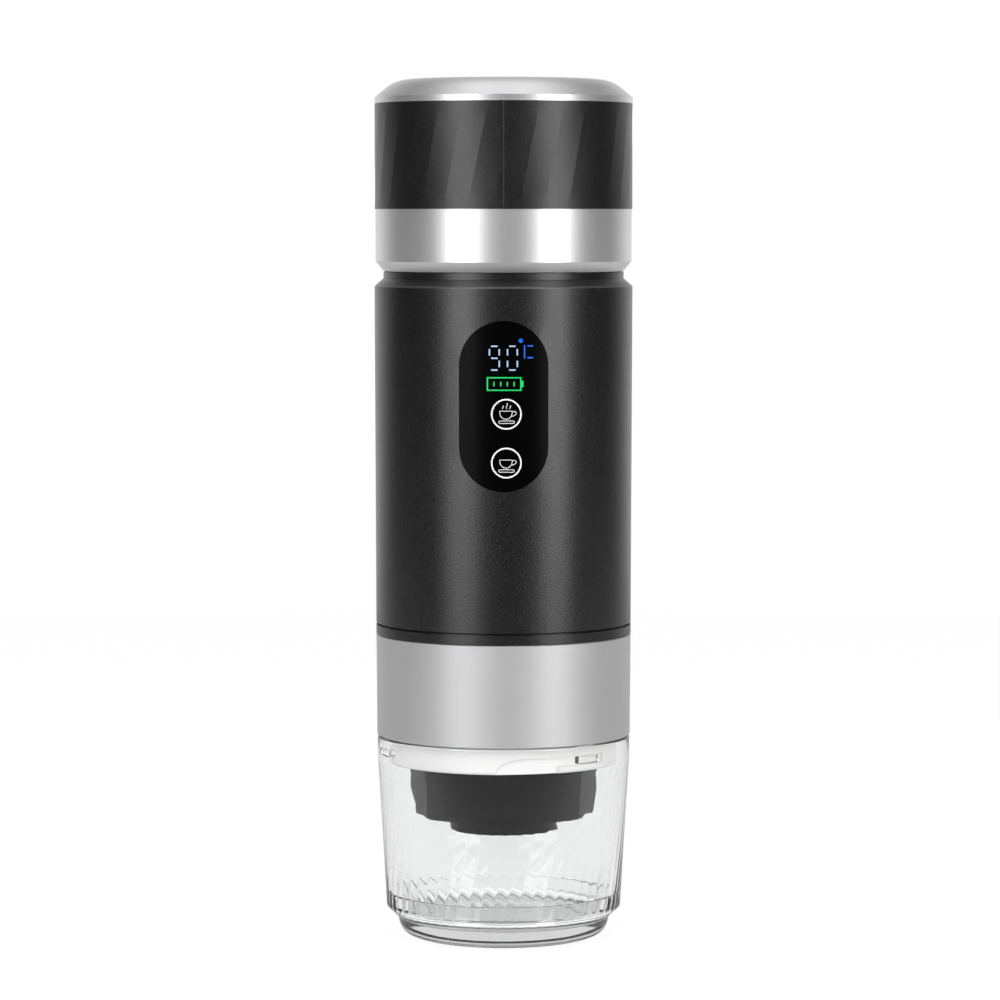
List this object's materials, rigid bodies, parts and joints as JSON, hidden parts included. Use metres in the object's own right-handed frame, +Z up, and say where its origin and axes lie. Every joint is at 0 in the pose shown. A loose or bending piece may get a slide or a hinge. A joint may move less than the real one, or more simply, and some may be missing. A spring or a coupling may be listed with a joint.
{
  "type": "portable espresso machine",
  "caption": "Cylindrical battery espresso machine: screw lid over a heated water tank, body with display, screw-on brew unit with basket and faceted outlet cap, and a clear fluted bayonet cup.",
  "frame": {"origin": "centre of the cup's foot, on the surface it stands on", "axes": "+Z up the machine's axis to the lid; -Y out of the display; +Y out of the charging socket"},
  "size_m": [0.071, 0.071, 0.236],
  "materials": {
    "satin_silver": "satin anodised",
    "black_paint": "fine satin black paint",
    "black_plastic": "fine satin",
    "inner_plastic": "satin",
    "white_plastic": "satin",
    "panel_black": "polished",
    "clear_plastic": "clear polished",
    "steel": "drawn and brushed",
    "steel_dark": "plated",
    "heater": "plain",
    "brass": "plain",
    "cell_wrap": "film wrapped",
    "circuit_board": "lacquered",
    "lamp_block": "satin",
    "silicone": "soft matt"
  },
  "bodies": {
    "machine": {"body_shell": "black_paint", "body_base": "black_plastic", "neck_ring": "black_plastic", "water_tank": "steel", "tank_heater": "heater", "heater_pad": "silicone", "temp_sensor": "brass", "tank_outlet": "brass", "display_panel": "panel_black", "display_board": "circuit_board", "led_display": "lamp_block", "touch_pads": "silicone", "main_board": "circuit_board", "charge_board": "circuit_board", "charge_port": "steel_dark", "frame_base": "inner_plastic", "frame_top": "inner_plastic", "battery_cells": "cell_wrap", "pump_head": "inner_plastic", "pump_housing": "inner_plastic", "pump_motor": "steel_dark", "inlet_hose": "silicone", "outlet_hose": "silicone", "brew_head": "inner_plastic", "shower_screen": "steel"},
    "lid_seal": {"lid_gasket": "silicone"},
    "lid_core": {"lid_liner": "inner_plastic", "vent_valve": "silicone"},
    "lid": {"lid_cap": "satin_silver", "lid_grip": "black_plastic", "lid_ring": "satin_silver"},
    "unit_seal": {"chamber_gasket": "silicone"},
    "brew_unit": {"brew_sleeve": "satin_silver", "brew_chamber": "inner_plastic", "cup_collar": "white_plastic", "coffee_basket": "steel"},
    "outlet_seal": {"outlet_gasket": "silicone"},
    "outlet": {"outlet_cap": "black_plastic"},
    "drinking_cup": {"cup": "clear_plastic"},
    "port_flap": {"port_cover": "black_plastic"},
    "rotor": {"pump_rotor": "steel_dark"}
  },
  "joints": [
    {"name": "lid_lift", "type": "slide", "parent": "machine", "child": "lid_seal", "axis": [0, 0, 1], "range_m": [0, 0.05]},
    {"name": "lid_rise", "type": "slide", "parent": "lid_seal", "child": "lid_core", "axis": [0, 0, 1], "range_m": [0, 0.00601]},
    {"name": "lid_turn", "type": "hinge", "parent": "lid_core", "child": "lid", "pos_m": [0, 0, 0], "axis": [0, 0, 1], "range_deg": [0, 540]},
    {"name": "brew_drop", "type": "slide", "parent": "machine", "child": "unit_seal", "axis": [0, 0, 1], "range_m": [-0.00601, 0]},
    {"name": "brew_turn", "type": "hinge", "parent": "unit_seal", "child": "brew_unit", "pos_m": [0, 0, 0], "axis": [0, 0, 1], "range_deg": [-540, 0]},
    {"name": "outlet_drop", "type": "slide", "parent": "brew_unit", "child": "outlet_seal", "axis": [0, 0, 1], "range_m": [-0.00451, 0]},
    {"name": "outlet_turn", "type": "hinge", "parent": "outlet_seal", "child": "outlet", "pos_m": [0, 0, 0], "axis": [0, 0, 1], "range_deg": [-540, 0]},
    {"name": "cup_turn", "type": "hinge", "parent": "brew_unit", "child": "drinking_cup", "pos_m": [0, 0, 0], "axis": [0, 0, 1], "range_deg": [-25, 0]},
    {"name": "port_cover_swing", "type": "hinge", "parent": "machine", "child": "port_flap", "pos_m": [0.00695, 0.03397, 0.094], "axis": [0, 0, -1], "range_deg": [0, 100]},
    {"name": "pump_spin", "type": "hinge", "parent": "machine", "child": "rotor", "pos_m": [0, -0.003, 0.115], "axis": [0, 0, 1], "continuous": true}
  ],
  "couplings": [
    {"joint": "lid_rise", "follows": "lid_turn", "m_per_rad": 0.00063662},
    {"joint": "brew_drop", "follows": "brew_turn", "m_per_rad": 0.00063662},
    {"joint": "outlet_drop", "follows": "outlet_turn", "m_per_rad": 0.00047746}
  ]
}
